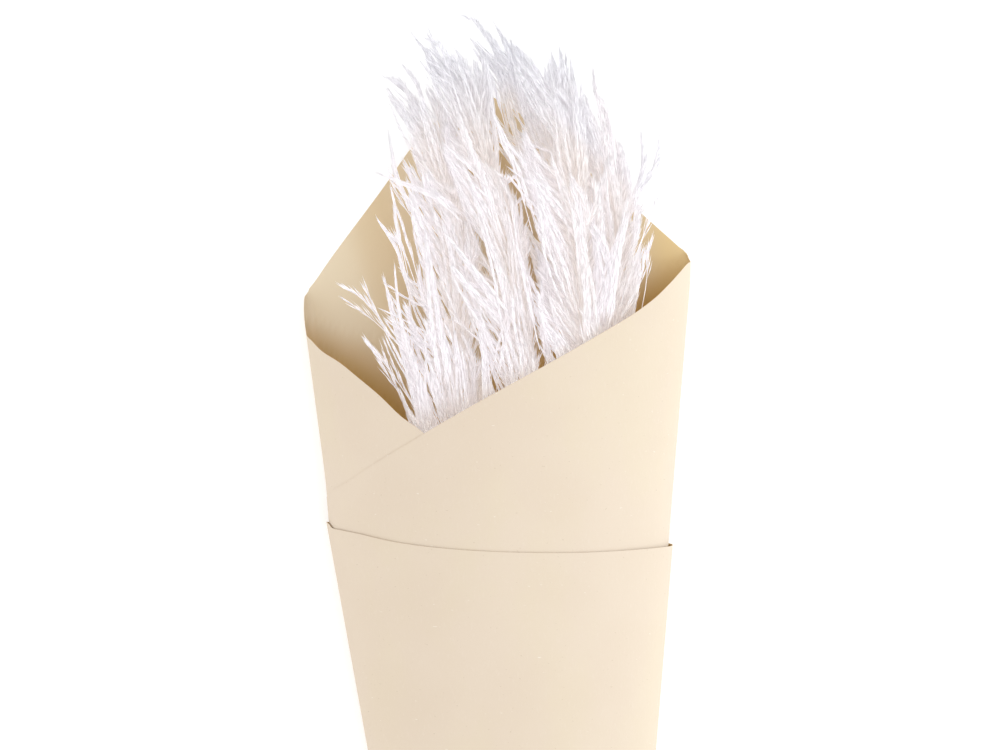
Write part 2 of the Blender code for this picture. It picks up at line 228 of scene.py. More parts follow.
LEFT_FLAP_EDGE = [
    (0.16, -0.03), (0.25, 0.035), (0.317, 0.0902), (0.33, 0.0964), (0.34, 0.1011), (0.359, 0.1122),
    (0.381, 0.1222), (0.406, 0.1317), (0.437, 0.1388), (0.461, 0.1448), (0.478, 0.1472),
    (0.492, 0.15), (0.5, 0.164),
]
BACK_LEFT_EDGE = [
    (0.5, 0.164), (0.508, 0.1692), (0.523, 0.1719), (0.539, 0.1756), (0.55, 0.1816),
    (0.568, 0.1936), (0.606, 0.2182), (0.632, 0.2356), (0.682, 0.271), (0.74, 0.296),
]
BACK_RIGHT_EDGE = [
    (0.74, 0.296), (0.8, 0.2735), (0.864, 0.244), (0.908, 0.2224), (0.944, 0.2056), (0.958, 0.1996),
    (0.971, 0.1972), (0.98, 0.1941), (1.0, 0.1925),
]
RIGHT_FLAP_EDGE = [
    (1.0, 0.1925), (1.032, 0.1912), (1.052, 0.1868), (1.075, 0.179), (1.098, 0.17), (1.128, 0.1593),
    (1.159, 0.1487), (1.23, 0.1223), (1.301, 0.0959), (1.342, 0.0817), (1.394, 0.0667),
    (1.421, 0.0607), (1.464, 0.055), (1.56, 0.044),
]
MOUTH_RIGHT = [(-0.1008, 0.0544), (-0.0438, 0.0894), (0.0276, 0.1276), (0.0846, 0.1618), (0.1158, 0.1915)]
MOUTH_LEFT = [(-0.114, 0.1474), (-0.0858, 0.1252), (-0.0438, 0.0894)]
# Painted shade on the sheet's inner face: up from the flaps' front edge across the mouth, and behind the
# plumes.
SHADE_HEIGHT = [
    (-0.114, 0.012), (-0.09, 0.022), (-0.065, 0.042), (0.05, 0.036), (0.09, 0.026), (0.114, 0.012),
]
SHADE_MOST = [(-0.114, 0.6), (-0.085, 0.9), (-0.065, 1.0), (0.09, 1.0), (0.112, 0.4)]
SHADOW_BEHIND_PLUMES = [
    (-0.108, 0.0), (-0.096, 0.05), (-0.084, 0.27), (-0.066, 0.37), (-0.052, 0.24), (-0.02, 0.12),
    (-0.008, 0.2), (0.001, 0.6), (0.011, 0.58), (0.02, 0.38), (0.034, 0.22), (0.08, 0.26),
    (0.105, 0.22),
]
BEHIND_SLOPE = 0.31
BEHIND_MIDDLE = 0.22
PAPER_COLUMNS = 192
PAPER_ROWS = 72
PAPER_SHARP_BEND = 0.6
DENT = 0.0002
DENT_WAVES = [(1.0, 23.0, 17.0, 0.0), (0.7, 51.0, -31.0, 1.3)]
WIDEST = 0.1153
KRAFT = (0.68, 0.575, 0.46, 1.0)
KRAFT_DEEP = (0.64, 0.53, 0.41, 1.0)
KRAFT_FIBRE = (0.72, 0.625, 0.52, 1.0)
KRAFT_YELLOW = (0.68, 0.585, 0.44, 1.0)
# The inner face: painted warm bounce light in its tone, more golden toward the right side, and a brown of
# painted shade down in the mouth and behind the plumes.
INNER_FACE_BOUNCE = (0.76, 0.645, 0.46, 1.0)
INNER_PAINTED_SHADE = (0.49, 0.27, 0.025, 1.0)
INNER_RIGHT_BOUNCE = (0.84, 0.655, 0.34, 1.0)
INNER_RIGHT_BOUNCE_RISE = (0.078, 0.104)
FLECK_DARK = (0.42, 0.32, 0.21, 1.0)
FLECK_PALE = (0.86, 0.81, 0.74, 1.0)


def along_points(points, places):
    """Straight interpolation through (place, value) points, carried on straight past the ends."""
    keys, values = np.array(points).T
    index = np.clip(np.searchsorted(keys, places, side="right"), 1, len(keys) - 1)
    share = (places - keys[index - 1]) / (keys[index] - keys[index - 1])
    return values[index - 1] + (values[index] - values[index - 1]) * share


def along_curve(points, places):
    """Smooth interpolation through (place, value) points."""
    keys, values = np.array(points).T
    last = len(keys) - 1
    index = np.clip(np.searchsorted(keys, places, side="right"), 1, last)
    before, after = np.maximum(index - 2, 0), np.minimum(index + 1, last)
    span = keys[index] - keys[index - 1]
    share = np.clip((places - keys[index - 1]) / span, 0.0, 1.0)
    slope_start = (values[index] - values[before]) / (keys[index] - keys[before]) * span
    slope_end = (values[after] - values[index - 1]) / (keys[after] - keys[index - 1]) * span
    square, cube = share**2, share**3
    return (
        (2 * cube - 3 * square + 1) * values[index - 1]
        + (cube - 2 * square + share) * slope_start
        + (3 * square - 2 * cube) * values[index]
        + (cube - square) * slope_end
    )


def section_points(turn, y, left, right, low, high, inset):
    """Points of the cone's cross-section: an arched front, round sides and a flat back.

    turn counts revolutions: 0 is the right side, 0.25 the crown of the front, 0.5 the left
    side and 0.75 the middle of the back.
    """
    centre = (left + right) / 2
    half = (right - left) / 2 - inset
    side = low + SIDE_SHARE * (high - low)
    part = turn % 1.0
    front = part <= 0.5
    arch = part * 2 * np.pi
    dents = sum(size * np.sin(part * around + y * along + start) for size, around, along, start in DENT_WAVES)
    dent = DENT * dents * np.sin(arch) ** 2
    front_x = centre + half * np.cos(arch)
    front_z = side + (high - inset - side) * np.sin(arch) + dent
    flat = half - SIDE_ROUND
    from_middle = part - 0.75
    flat_turn = 0.25 - CORNER_TURN
    bend = np.clip((np.abs(from_middle) - flat_turn) / CORNER_TURN, 0.0, 1.0) * np.pi / 2
    flat_x = flat * np.clip(from_middle / flat_turn, -1.0, 1.0)
    back_x = centre + flat_x + np.sign(from_middle) * SIDE_ROUND * np.sin(bend)
    back_z = side - (side - low) * np.cos(bend)
    x = np.clip(np.where(front, front_x, back_x), -WIDEST, WIDEST)
    return np.stack([x, y, np.where(front, front_z, back_z)], axis=-1)


def wrap_floor(y):
    """Height of the sheet's back: lifted by the sleeve's paper below, on the table above."""
    ramp = [(WRAP_IN_SLEEVE, WRAP_LIFT), (WRAP_ON_TABLE, 0.0)]
    return along_points(ramp, np.clip(y, WRAP_IN_SLEEVE, WRAP_ON_TABLE))


def wrap_crown(y):
    return FRONT_HEIGHT + FRONT_GROWTH * y - SLEEVE_STAND_OFF


def wrap_points(turn, y):
    inset = LAYER_STEP * (WRAP_TURNS[1] - turn)
    left, right = along_points(WRAP_LEFT, y), along_points(WRAP_RIGHT, y)
    high = wrap_crown(y) - LEFT_STAND_OFF * np.clip((turn % 1.0 - 0.25) / LEFT_RAMP_TURN, 0.0, 1.0)
    return section_points(turn, y, left, right, wrap_floor(y), high, inset)


def wrap_edge(turn):
    """Height of the sheet's cut edge: down the front of each flap, and one corner at the back."""
    edges = (LEFT_FLAP_EDGE, BACK_LEFT_EDGE, BACK_RIGHT_EDGE, RIGHT_FLAP_EDGE)
    heights = [along_curve(edge, turn) for edge in edges]
    return np.select([turn <= edge[-1][0] for edge in edges], heights, heights[-1])


def mouth_height(x):
    """Height of the flaps' front edge across the mouth."""
    return np.maximum(along_points(MOUTH_RIGHT, x), along_points(MOUTH_LEFT, x))


def paper_shade(x, y):
    """How deep the sheet's inner face lies in shade, down in the mouth and behind the plumes."""
    above = y - mouth_height(x)
    most, height = np.interp(x, *zip(*SHADE_MOST)), np.interp(x, *zip(*SHADE_HEIGHT))
    behind = np.interp(x + BEHIND_SLOPE * (y - BEHIND_MIDDLE), *zip(*SHADOW_BEHIND_PLUMES))
    return np.maximum(most * np.clip(1 - above / height, 0.0, 1.0), behind)


def paper_finish():
    """Matt kraft paper: long pulp fibres, a cloudy tone, a few pale and dark flecks, painted light and shade
    inside.
    """
    shader = Shader("kraft_paper")
    place = shader.place()
    cloud = shader.noise(place, scale=22, detail=3)
    scatter = shader.noise(place, scale=45, detail=1)
    waves = shader.noise(place, scale=90, detail=3)
    fibre = shader.grain((900, 260, 900), turn=(0, 0, 0.5), detail=5, roughness=0.65)
    cross_fibre = shader.grain((300, 1100, 700), turn=(0, 0, -0.35), detail=4, roughness=0.6)
    patches = shader.grain((16, 9, 16), turn=(0, 0, 0.4), detail=4, roughness=0.6)
    dark = shader.grain((520, 900, 700), turn=(0, 0, 0.2), detail=1, roughness=0.4)
    pale = shader.grain((260, 800, 500), turn=(0, 0, 0.25), detail=1, roughness=0.4)
    tone = shader.stained(KRAFT, KRAFT_YELLOW, patches, low=0.42, high=0.62, share=0.5)
    tone = shader.stained(tone, KRAFT_DEEP, cloud, low=0.35, high=0.65, share=0.25)
    tone = shader.stained(tone, KRAFT_FIBRE, fibre, low=0.52, high=0.75, share=0.40)
    tone = shader.stained(tone, KRAFT_DEEP, cross_fibre, low=0.56, high=0.78, share=0.28)
    tone = shader.stained(tone, FLECK_DARK, dark, low=0.755, high=0.80, share=0.35)
    scattered = shader.between(pale, 0.745, 0.80) * shader.between(scatter, 0.50, 0.60)
    tone = shader.mix(scattered * 0.5, tone, FLECK_PALE)
    across = shader.node("ShaderNodeSeparateXYZ", {}, {"Vector": place})
    # The inner face's tone is painted warm bounce light, more golden toward the right side.
    painted_bounce = shader.mix(shader.between(across, *INNER_RIGHT_BOUNCE_RISE), INNER_FACE_BOUNCE, INNER_RIGHT_BOUNCE)
    # Painted shade darkens the inner face to a strong golden brown down in the mouth and behind the plumes.
    inside = shader.mix(shader.painted("depth"), painted_bounce, INNER_PAINTED_SHADE)
    tone = shader.mix(shader.painted("inner_face") * 0.85, tone, inside)
    bumps = shader.bumps(fibre * 0.6 + cross_fibre * 0.4 + waves * 0.8, strength=0.16, distance=0.0004)
    return shader.finish(shader.skin(tone, 0.80 + fibre * 0.12, 0.4, {"Normal": bumps}))


def paper_piece(name, material, turns, low, edge_at, points_at):
    """A cut sheet of paper: a fine unit grid laid round the cone, then given its thickness."""
    columns = round((turns[1] - turns[0]) * PAPER_COLUMNS)
    shape = bmesh.new()
    bmesh.ops.create_grid(shape, x_segments=columns, y_segments=PAPER_ROWS, size=0.5)
    flat = np.array([vertex.co for vertex in shape.verts]) + 0.5
    turn = turns[0] + flat[:, 0] * (turns[1] - turns[0])
    y = low + flat[:, 1] * (edge_at(turn) - low)
    for vertex, point in zip(shape.verts, points_at(turn, y)):
        vertex.co = point
    bmesh.ops.reverse_faces(shape, faces=shape.faces[:])
    inner_face = shape.faces.layers.float.new("inner_face")
    outside = set(shape.faces)
    bmesh.ops.solidify(shape, geom=shape.faces[:], thickness=PAPER)
    for face in shape.faces:
        face[inner_face] = 0.0 if face in outside else 1.0
    for edge in shape.edges:
        edge.smooth = edge.calc_face_angle(0.0) < PAPER_SHARP_BEND
    # Each corner carries how much painted shade its inner face gets.
    depth = shape.verts.layers.float.new("depth")
    corners = np.array([vertex.co for vertex in shape.verts])
    for vertex, shade in zip(shape.verts, paper_shade(corners[:, 0], corners[:, 1])):
        vertex[depth] = shade
    return finished(name, shape, material)


kraft = paper_finish()
upper = paper_piece("upper_sheet", kraft, WRAP_TURNS, WRAP_LOW, wrap_edge, wrap_points)
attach(upper, "root")
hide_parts("upper_wrap")


# The lower wrap: a straight-cut sheet of the same paper, rolled round the foot of the first
# as a sleeve and glued along one lap at the back. The cone makes its edge dip across the front.
SLEEVE_LOW = -0.28
SLEEVE_LEFT = [(-0.28, -0.0444), (0.05, -0.1043)]
SLEEVE_RIGHT = [(-0.28, 0.0803), (0.05, 0.1072)]
SLEEVE_LAP_STEP = 0.001
SLEEVE_TURNS = (34 / CAD_COLUMNS, 87 / CAD_COLUMNS)
SLEEVE_LAP_END = 39 / CAD_COLUMNS
SLEEVE_LAP_RAMP = 2 / CAD_COLUMNS
SLEEVE_EDGE = [
    (0.66, 0.031), (1.0, 0.0232), (1.076, 0.0221), (1.154, 0.0204), (1.196, 0.02), (1.252, 0.0207),
    (1.298, 0.0224), (1.349, 0.0257), (1.4, 0.0306), (1.437, 0.0327), (1.46, 0.0336),
    (1.471, 0.0359), (1.5, 0.037), (1.82, 0.0262),
]


def sleeve_points(turn, y):
    inner_lap = np.clip(1 - (turn - SLEEVE_LAP_END) / SLEEVE_LAP_RAMP, 0.0, 1.0)
    left, right = along_points(SLEEVE_LEFT, y), along_points(SLEEVE_RIGHT, y)
    crown = FRONT_HEIGHT + FRONT_GROWTH * y
    return section_points(turn, y, left, right, SLEEVE_LAP_STEP * inner_lap, crown, 0.0)


def sleeve_edge(turn):
    return along_curve(SLEEVE_EDGE, turn)


lower = paper_piece("sleeve_sheet", kraft, SLEEVE_TURNS, SLEEVE_LOW, sleeve_edge, sleeve_points)
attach(lower, "root")
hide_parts("lower_wrap")


# The plumes: five bleached flower heads. Each grew in one piece: a stalk set all round with
# long side sprays that lie forward along it, swept to one side, and on each spray silky
# spikelets that lie forward in turn. Only the paper and their neighbours press on them.
LEFT_FRONT_LOCKS = [
    (2, (-0.018, 0.28, 0.056), (-0.0295, 0.3125, 0.058), (-0.0396, 0.3214, 0.058)),
    (5, (-0.018, 0.214, 0.058), (-0.03, 0.2245, 0.062), (-0.05, 0.2343, 0.062), (-0.069, 0.2428, 0.058)),
    (3, (0.0, 0.12, 0.06), (0.006, 0.15, 0.062), (0.013, 0.172, 0.062)),
    (5, (-0.003, 0.07, 0.054), (-0.0055, 0.105, 0.058), (-0.007, 0.13, 0.059), (-0.01, 0.155, 0.057)),
    (5, (-0.0077, 0.266, 0.046), (-0.0105, 0.287, 0.046), (-0.013, 0.3043, 0.046)),
    (7, (-0.003, 0.266, 0.042), (-0.0055, 0.291, 0.042), (-0.0088, 0.3108, 0.042)),
]
LEFT_FRONT_RIBBONS = [
    (9, (0.001, 0.205, 0.06), (-0.008, 0.235, 0.063), (-0.0175, 0.2625, 0.062), (-0.026, 0.2865, 0.058)),
    (8, (0.0047, 0.151, 0.058), (-0.0041, 0.1687, 0.062), (-0.0158, 0.1863, 0.063), (-0.0264, 0.2022, 0.062)),
    (8, (0.012, 0.14, 0.056), (0.006, 0.17, 0.061), (-0.002, 0.196, 0.062), (-0.012, 0.224, 0.06)),
]
LEFT_BACK_LOCKS = [
    (1, (-0.042, 0.095, 0.034), (-0.063, 0.145, 0.04), (-0.0763, 0.1666, 0.043), (-0.0911, 0.1767, 0.045)),
    (1, (-0.062, 0.146, 0.038), (-0.0745, 0.158, 0.038), (-0.09, 0.169, 0.038)),
    (1, (-0.0645, 0.15, 0.04), (-0.073, 0.165, 0.04), (-0.0781, 0.1773, 0.04)),
    (2, (-0.04, 0.088, 0.045), (-0.059, 0.118, 0.047), (-0.0704, 0.1358, 0.048), (-0.0781, 0.1447, 0.048)),
    (3, (-0.05, 0.12, 0.034), (-0.061, 0.16, 0.036), (-0.0651, 0.1749, 0.036)),
    (5, (-0.022, 0.035, 0.038), (-0.038, 0.078, 0.043), (-0.048, 0.108, 0.046), (-0.0575, 0.142, 0.046)),
    (4, (-0.022, 0.045, 0.03), (-0.039, 0.083, 0.034), (-0.049, 0.118, 0.036), (-0.057, 0.155, 0.036)),
    (5, (-0.02, 0.03, 0.044), (-0.033, 0.073, 0.05), (-0.042, 0.1, 0.052), (-0.0475, 0.132, 0.052)),
    (6, (-0.034, 0.06, 0.04), (-0.044, 0.085, 0.046), (-0.05, 0.098, 0.048), (-0.0545, 0.109, 0.048)),
    (5, (-0.013, 0.075, 0.05), (-0.018, 0.105, 0.055), (-0.0215, 0.13, 0.056), (-0.026, 0.155, 0.054)),
    (5, (-0.03, 0.08, 0.044), (-0.047, 0.125, 0.048), (-0.056, 0.155, 0.048), (-0.06, 0.185, 0.046)),
    (3, (-0.05, 0.165, 0.044), (-0.0562, 0.1879, 0.046), (-0.0598, 0.198, 0.046), (-0.0686, 0.2134, 0.046)),
    (3, (-0.046, 0.18, 0.046), (-0.0533, 0.2057, 0.048), (-0.0574, 0.2175, 0.048), (-0.0621, 0.2335, 0.048)),
    (3, (-0.036, 0.205, 0.044), (-0.055, 0.236, 0.044), (-0.0632, 0.2635, 0.042)),
    (2, (-0.036, 0.2, 0.044), (-0.056, 0.228, 0.044), (-0.066, 0.25, 0.042)),
    (3, (-0.04, 0.262, 0.04), (-0.0515, 0.288, 0.042), (-0.0609, 0.2972, 0.042)),
    (3, (-0.04, 0.265, 0.04), (-0.046, 0.29, 0.042), (-0.0514, 0.3013, 0.042)),
]
LEFT_BACK_RIBBONS = [
    (8, (-0.0277, 0.1, 0.05), (-0.0353, 0.1452, 0.056), (-0.0394, 0.1806, 0.056), (-0.042, 0.205, 0.052)),
]
MIDDLE_LOCKS = [
    (2, (-0.002, 0.3, 0.034), (-0.0124, 0.329, 0.036), (-0.0207, 0.3375, 0.036)),
    (5, (0.01, 0.285, 0.036), (0.001, 0.312, 0.038), (-0.008, 0.3285, 0.038)),
    (6, (0.014, 0.285, 0.036), (0.008, 0.31, 0.038), (0.001, 0.3275, 0.038)),
    (5, (0.018, 0.28, 0.036), (0.013, 0.302, 0.038), (0.009, 0.3195, 0.038)),
    (7, (0.012, 0.262, 0.03), (0.0055, 0.286, 0.034), (-0.0005, 0.3055, 0.036)),
]
RIGHT_FRONT_LOCKS = [
    (5, (0.028, 0.21, 0.06), (0.0166, 0.243, 0.062), (0.0089, 0.256, 0.062), (0.0, 0.2743, 0.062)),
    (3, (0.028, 0.15, 0.06), (0.019, 0.18, 0.062), (0.013, 0.198, 0.062)),
    (10, (0.041, 0.255, 0.052), (0.0395, 0.288, 0.054), (0.0375, 0.3127, 0.054)),
    (6, (0.038, 0.255, 0.052), (0.034, 0.282, 0.054), (0.031, 0.3022, 0.054)),
    (9, (0.04, 0.255, 0.046), (0.037, 0.286, 0.048), (0.0335, 0.308, 0.048)),
    (9, (0.041, 0.25, 0.042), (0.0405, 0.283, 0.044), (0.0385, 0.3105, 0.044)),
    (10, (0.043, 0.25, 0.05), (0.0425, 0.284, 0.052), (0.041, 0.308, 0.052)),
    (8, (0.044, 0.25, 0.044), (0.0445, 0.282, 0.046), (0.044, 0.305, 0.046)),
    (8, (0.045, 0.248, 0.05), (0.0465, 0.278, 0.052), (0.0452, 0.299, 0.05)),
    (6, (0.047, 0.245, 0.048), (0.05, 0.272, 0.05), (0.0499, 0.2901, 0.048)),
]
RIGHT_FRONT_RIBBONS = [
    (8, (0.056, 0.13, 0.056), (0.055, 0.165, 0.061), (0.051, 0.198, 0.062), (0.047, 0.226, 0.06)),
]
RIGHT_BACK_LOCKS = [
    (4, (0.07, 0.195, 0.04), (0.0817, 0.227, 0.042), (0.0912, 0.243, 0.042), (0.0953, 0.2614, 0.042)),
    (3, (0.074, 0.2, 0.038), (0.0845, 0.235, 0.04), (0.0865, 0.2466, 0.04), (0.0859, 0.2643, 0.04)),
    (2, (0.076, 0.185, 0.044), (0.0865, 0.211, 0.046), (0.093, 0.2252, 0.046)),
    (2, (0.078, 0.15, 0.044), (0.0847, 0.1785, 0.046), (0.0865, 0.1915, 0.046), (0.0906, 0.2027, 0.046)),
    (2, (0.07, 0.145, 0.04), (0.079, 0.167, 0.042), (0.085, 0.185, 0.042)),
    (2, (0.064, 0.14, 0.046), (0.074, 0.16, 0.048), (0.0825, 0.175, 0.048)),
    (6, (0.068, 0.245, 0.036), (0.0657, 0.2708, 0.036), (0.0604, 0.2874, 0.036), (0.058, 0.2998, 0.036)),
]
RIGHT_BACK_RIBBONS = [
    (8, (0.058, 0.14, 0.05), (0.064, 0.17, 0.054), (0.07, 0.196, 0.054), (0.0765, 0.218, 0.05)),
]

# Each plume has points up its stalk, how far its sprays reach and are swept, its locks and
# ribbons of sprays, each a count and points down its middle, and its stem's place in the tie.
PLUMES = [
    {
        "stalk": [
            (0.002, -0.04, 0.031), (0.02, 0.08, 0.043), (0.011, 0.17, 0.046), (0.0, 0.226, 0.048),
            (-0.0155, 0.287, 0.05),
        ],
        "reach": 0.0245, "sweep": (-0.02, 0.004), "sprays": 430, "stem": (-0.5, 1),
        "locks": LEFT_FRONT_LOCKS, "ribbons": LEFT_FRONT_RIBBONS,
    },
    {
        "stalk": [
            (-0.017, -0.048, 0.021), (-0.024, 0.07, 0.03), (-0.022, 0.17, 0.033),
            (-0.025, 0.222, 0.035), (-0.033, 0.26, 0.037),
        ],
        "reach": 0.027, "sweep": (-0.024, 0.006), "sprays": 420, "stem": (-1, 0),
        "locks": LEFT_BACK_LOCKS, "ribbons": LEFT_BACK_RIBBONS,
    },
    {
        "stalk": [
            (0.012, -0.03, 0.016), (0.051, 0.08, 0.018), (0.052, 0.165, 0.018),
            (0.038, 0.235, 0.02), (0.021, 0.289, 0.027),
        ],
        "reach": 0.023, "sweep": (-0.02, 0.004), "sprays": 420, "stem": (0, 0),
        "locks": MIDDLE_LOCKS, "ribbons": [],
    },
    {
        "stalk": [
            (0.024, -0.044, 0.033), (0.053, 0.08, 0.044), (0.05, 0.16, 0.047),
            (0.047, 0.225, 0.049), (0.0425, 0.271, 0.05),
        ],
        "reach": 0.025, "sweep": (-0.028, 0.004), "sprays": 420, "stem": (0.5, 1),
        "locks": RIGHT_FRONT_LOCKS, "ribbons": RIGHT_FRONT_RIBBONS,
    },
    {
        "stalk": [
            (0.04, -0.05, 0.021), (0.059, 0.08, 0.031), (0.067, 0.167, 0.035),
            (0.0705, 0.215, 0.037), (0.062, 0.25, 0.037),
        ],
        "reach": 0.0212, "sweep": (-0.009, 0.006), "sprays": 400, "stem": (1, 0),
        "locks": RIGHT_BACK_LOCKS, "ribbons": RIGHT_BACK_RIBBONS,
    },
]
SLOT_BETWEEN = {0, 3}
SLOT_HALF_WIDTH = 0.0042
UNDER_SLOT = {0, 2}
UNDER_SLOT_ROOM = 0.009
UNDER_SLOT_TO = (0.2, 0.24)
CLEARING_ROUNDS = 3
SEED = 7
GOLDEN_ANGLE = math.pi * (3 - math.sqrt(5))

INNER_LAYERS = 1.5
SIDE_ROOM = 0.002
RISE_ABOVE_MOUTH = 1.2
TOP_SOFT = 0.066
TOP_ROOM = 0.0086
TIP_LIMIT = 0.338

SWELLING_SHARE = 0.35
NARROWING_SHARE = 0.45
BREADTH_AT_ENDS = 0.42
BREADTH_MORE = 0.58
SPRAY_FROM = 0.03
SPRAY_OVER = 0.96
SPRAY_CROWDING = 0.66
SPRAY_STEPS = 14
SPRAY_TURN = 0.3
SPRAY_LENGTH_LOW = 0.078
SPRAY_LENGTH_TIP = 0.042
SPRAY_LENGTHS = (0.8, 1.1)
SPRAY_REACHES = (0.5, 1.02)
SPREAD_POWER = 1.15
SWEPT_SHARE = 0.32
SWEEPS = (0.5, 1.3)
SWEEP_LEAST = 0.35
SWEEP_MORE = 0.65
SWEEP_POWER = 1.4
SWAY = 0.001
SWAY_WAVES = (0.7, 1.4)
SPRAY_MARGIN = -0.001
SPRAY_ROOM = 0.0012
SPRAY_STALK_WIDTH = 0.00034
SPRAY_STALK_STEPS = 7
SPRAY_STALK_TAPER = 0.75
SPRAY_STALK_TINT = 0.5

SPRAYS_IN_LOCK = 8
LOCK_PULL = 0.72
LOCK_POWER = 1.3
LOCK_STRAYING = 0.0045
STRAYING_POWER = 1.5
NEARNESS = (1.0, 0.45, 1.0)
LOOSE_ROOM = 0.0035
LOOSE_ENDS = (0.82, 1.0)
LOOSE_CLOSING = 0.85
STRAYS_AT_MOST = 2
LOOSE_TINT = 0.4
RIBBON_TINT = 0.1

SPRAY_SPAN = (0.12, 0.96)
SPIKELET_SPACING = 0.00092
SPIKELET_LEAN = 0.14
STRAY_SPAN = (0.35, 0.92)
STRAY_SPACING = 0.0013
STRAY_LEAN = 0.32
SPIKELETS_AT_LEAST = 8
SPIKELET_LENGTH = 0.016
SPIKELET_LENGTHS = (0.65, 1.2)
SPIKELET_SHORTER = 0.3
SPIKELET_HALF_WIDTH = 0.00036
SPIKELET_WIDTHS = (0.7, 1.3)
SPIKELET_WIDEST = 0.55
SPIKELET_FLATNESS = 0.6
SPIKELET_TURN = 0.6
SPIKELET_LEANS = (0.2, 1.0)
SPIKELET_UPRIGHT = 0.5
SPIKELET_BEND = 0.5
SPIKELET_BENDS = (-0.2, 1.0)
BROAD_SHARE = 0.25
BROAD = 1.6
TINT_OF_SPRAY = 0.7
TINT_OF_SPIKELET = 0.3

# Where the silk gets painted shade: near its stalk, in the mouth, under its neighbours and in the gap; and
# where its tips get painted grey.
STALK_DEPTH = 1.15
STALK_DEPTH_REACH = 0.75
TIP_SHADE_RISE = (0.245, 0.325)
BACK_LEFT_LINE = (0.33, 1.37)
BACK_RIGHT_LINE = (0.3004, -0.906)
CLEAR_OF_PAPER = 0.014
CLEAR_SHARE = 0.6
SPARSE_SHARE = 0.7
SPARSE_FROM = (0.05, 0.064)
SPARSE_TO = (0.076, 0.084)
FRONT_SHARE = 0.6
FRONT_RISE = (0.054, 0.062)
FRONT_ENDS = (0.255, 0.285)
GAP_SHARE = 0.8
GAP_DEPTH = 1.6
GAP_SIDES = (0.008, 0.018)
GAP_FLOOR = (0.036, 0.044)
GAP_ENDS = (0.28, 0.305)
MOUTH_DIM = [(-0.05, 0.022), (0.0, 0.016), (0.03, 0.012), (0.065, 0.012), (0.08, 0.028)]
BELOW_RISE = (0.012, 0.029)

PLUME_WHITE = (0.99, 0.97, 0.985, 1.0)
PLUME_CREAM_AND_SHADE = (0.94, 0.885, 0.81, 1.0)
TIP_SHADE_GREY = (0.92, 0.915, 0.935, 1.0)
# The silk's glow is painted light, standing in for light scattered again and again through the mass of silk.
PLUME_GLOW = (1.0, 0.955, 0.98, 1.0)
CREAM_AND_SHADE_GLOW = (0.79, 0.71, 0.66, 1.0)
TIP_GLOW = (0.73, 0.73, 0.78, 1.0)
GLOW_STRENGTH = 0.26
SEE_THROUGH = 0.3


def smooth_rise(values, low, high):
    share = np.clip((values - low) / (high - low), 0.0, 1.0)
    return share * share * (3 - 2 * share)


def unit(vectors):
    return vectors / np.linalg.norm(vectors, axis=-1, keepdims=True)


def stalk_points(stalk, y):
    """Points of a plume's stalk at some heights, straight on past its ends, and directions."""
    low, high = stalk[0][1], stalk[-1][1]
    inside = np.clip(y, low, high)
    step = 0.004
    near = np.clip(inside, low + step, high - step)

    def at(height):
        across = along_curve([(y, x) for x, y, _ in stalk], height)
        return np.stack([across, height, along_curve([(y, z) for _, y, z in stalk], height)], axis=-1)

    direction = unit(at(near + step) - at(near - step))
    return at(inside) + direction * ((y - inside) / direction[..., 1])[..., None], direction


def square_to(along):
    """Two unit directions square to each line and to each other, the first of them level."""
    across = unit(np.cross(along, (0.0, 0.0, 1.0)))
    return across, np.cross(across, along)


def turned(first, second, angle):
    """Directions at an angle from the first of two square ones toward the second."""
    return first * np.cos(angle)[:, None] + second * np.sin(angle)[:, None]


def inside_paper(points, room):
    """The points moved inside the upper paper: its back, its sides and its front arch."""
    x, y, z = points[..., 0], points[..., 1], points[..., 2]
    room = room + LAYER_STEP * INNER_LAYERS + PAPER
    left, right = along_points(WRAP_LEFT, y) + room, along_points(WRAP_RIGHT, y) - room
    x = np.clip(x, left + SIDE_ROOM, right - SIDE_ROOM)
    low = wrap_floor(y) + room
    high = wrap_crown(y) - room
    side = low + SIDE_SHARE * (high - low)
    share = (x - (left + right) / 2) / ((right - left) / 2)
    ceiling = side + (high - side) * np.sqrt(np.clip(1 - share**2, 0.0, 1.0))
    ceiling = ceiling + np.maximum(y - mouth_height(x), 0.0) * RISE_ABOVE_MOUTH
    z = np.clip(z, low, np.maximum(ceiling, low))
    z = np.where(z > TOP_SOFT, TOP_SOFT + TOP_ROOM * np.tanh((z - TOP_SOFT) / TOP_ROOM), z)
    return np.stack([x, np.minimum(y, TIP_LIMIT), z], axis=-1)


def middle_of(plume, y):
    """The middle of a plume's mass, which hangs to one side of its stalk."""
    return stalk_points(plume["stalk"], y)[0] + np.array([plume["sweep"][0] * SWEPT_SHARE, 0.0, 0.0])


def kept_clear(points, own, margin):
    """The points moved to their own plume's side of its neighbours."""
    for _ in range(CLEARING_ROUNDS):
        centre = middle_of(PLUMES[own], points[..., 1])
        for number, plume in enumerate(PLUMES):
            if number == own:
                continue
            toward = middle_of(plume, points[..., 1]) - centre
            distance = np.linalg.norm(toward, axis=-1, keepdims=True)
            room = SLOT_HALF_WIDTH if {own, number} == SLOT_BETWEEN else margin
            if {own, number} == UNDER_SLOT:
                room = margin + UNDER_SLOT_ROOM * (1 - smooth_rise(points[..., 1:2], *UNDER_SLOT_TO))
            past = ((points - centre) * toward / distance).sum(-1, keepdims=True) - (distance / 2 - room)
            points = points - toward / distance * np.maximum(past, 0.0)
    return points


def plume_profile(share):
    """A plume's breadth up its height: it swells above its foot and narrows to its tip."""
    rise = np.sin(np.minimum(share / SWELLING_SHARE, 1.0) * np.pi / 2)
    fall = np.sin(np.minimum((1 - share) / NARROWING_SHARE, 1.0) * np.pi / 2)
    return (BREADTH_AT_ENDS + BREADTH_MORE * rise) * (BREADTH_AT_ENDS + BREADTH_MORE * fall)


